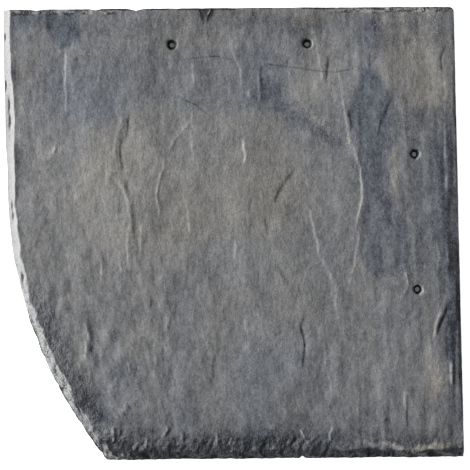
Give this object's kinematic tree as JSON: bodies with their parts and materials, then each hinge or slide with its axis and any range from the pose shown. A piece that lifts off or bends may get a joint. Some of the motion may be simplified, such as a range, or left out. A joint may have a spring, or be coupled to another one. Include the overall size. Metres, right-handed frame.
{
  "type": "roof shingle",
  "caption": "Riven roofing slate with a square head, one straight side, one curved side and hand-dressed edges, lying on its bed.",
  "frame": {"origin": "middle of the outline's bounding box, on the flat bed that the slate lies on", "axes": "+Z out of the riven face, +X from the curved side to the straight side, +Y from the foot to the head"},
  "size_m": [0.307, 0.3022, 0.0066],
  "materials": {
    "slate": "riven, matte to faintly silky"
  },
  "bodies": {
    "root": {"slate": "slate"}
  },
  "joints": []
}
